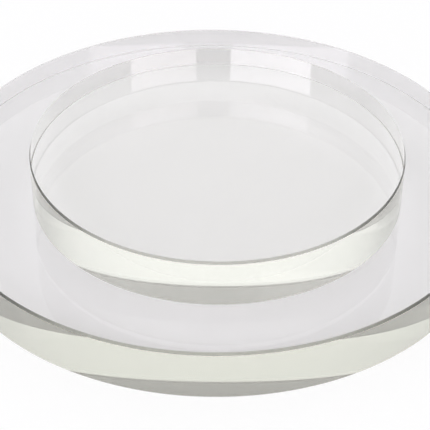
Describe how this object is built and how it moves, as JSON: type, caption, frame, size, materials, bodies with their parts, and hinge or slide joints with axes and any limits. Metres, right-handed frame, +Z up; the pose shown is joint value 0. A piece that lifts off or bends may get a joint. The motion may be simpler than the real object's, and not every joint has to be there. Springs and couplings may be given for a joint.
{
  "type": "display base",
  "caption": "Two-tier round display base: a small solid clear glass disc standing loose and off centre on a larger one, with polished bevelled rims.",
  "frame": {"origin": "centre of the lower disc's underside, which is the bottom centre of the whole part", "axes": "+Z up through the discs' thickness, -Y towards the front, where the upper disc stands nearest the rim, +X to the right seen from the front"},
  "size_m": [0.15, 0.15, 0.0278],
  "materials": {
    "clear_glass": "polished clear glass, faint green-cream tint"
  },
  "bodies": {
    "base": {"lower_disc": "clear_glass"},
    "tier": {"upper_disc": "clear_glass"}
  },
  "joints": [
    {"name": "upper_disc_lift", "type": "slide", "parent": "base", "child": "tier", "axis": [0, 0, 1], "range_m": [0, 0.05]}
  ]
}
